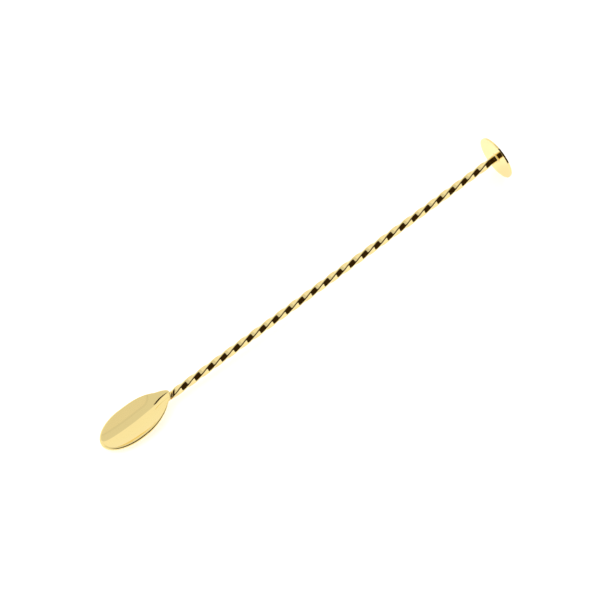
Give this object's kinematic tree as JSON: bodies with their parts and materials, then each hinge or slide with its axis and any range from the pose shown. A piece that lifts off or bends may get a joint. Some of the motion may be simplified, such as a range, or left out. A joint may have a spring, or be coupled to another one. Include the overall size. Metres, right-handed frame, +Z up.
{
  "type": "bar spoon",
  "caption": "Bar spoon: a pressed teardrop bowl, a long twisted square shaft and a flat round disc at the far end, plated in polished gold colour.",
  "frame": {"origin": "centre of the bounding box's base, on the surface that the bowl and the disc's rim rest on", "axes": "+X from the bowl's tip towards the disc, +Z up out of the bowl's opening, Y across"},
  "size_m": [0.2702, 0.0258, 0.0258],
  "materials": {
    "bowl_plate": "mirror polished gold plate",
    "shaft_plate": "polished gold plate",
    "disc_plate": "mirror polished gold plate",
    "braze_plate": "plated braze, slightly duller"
  },
  "bodies": {
    "root": {"spoon_bowl": "bowl_plate", "twisted_shaft": "shaft_plate", "muddler_disc": "disc_plate", "neck_braze": "braze_plate", "disc_braze": "braze_plate"}
  },
  "joints": []
}
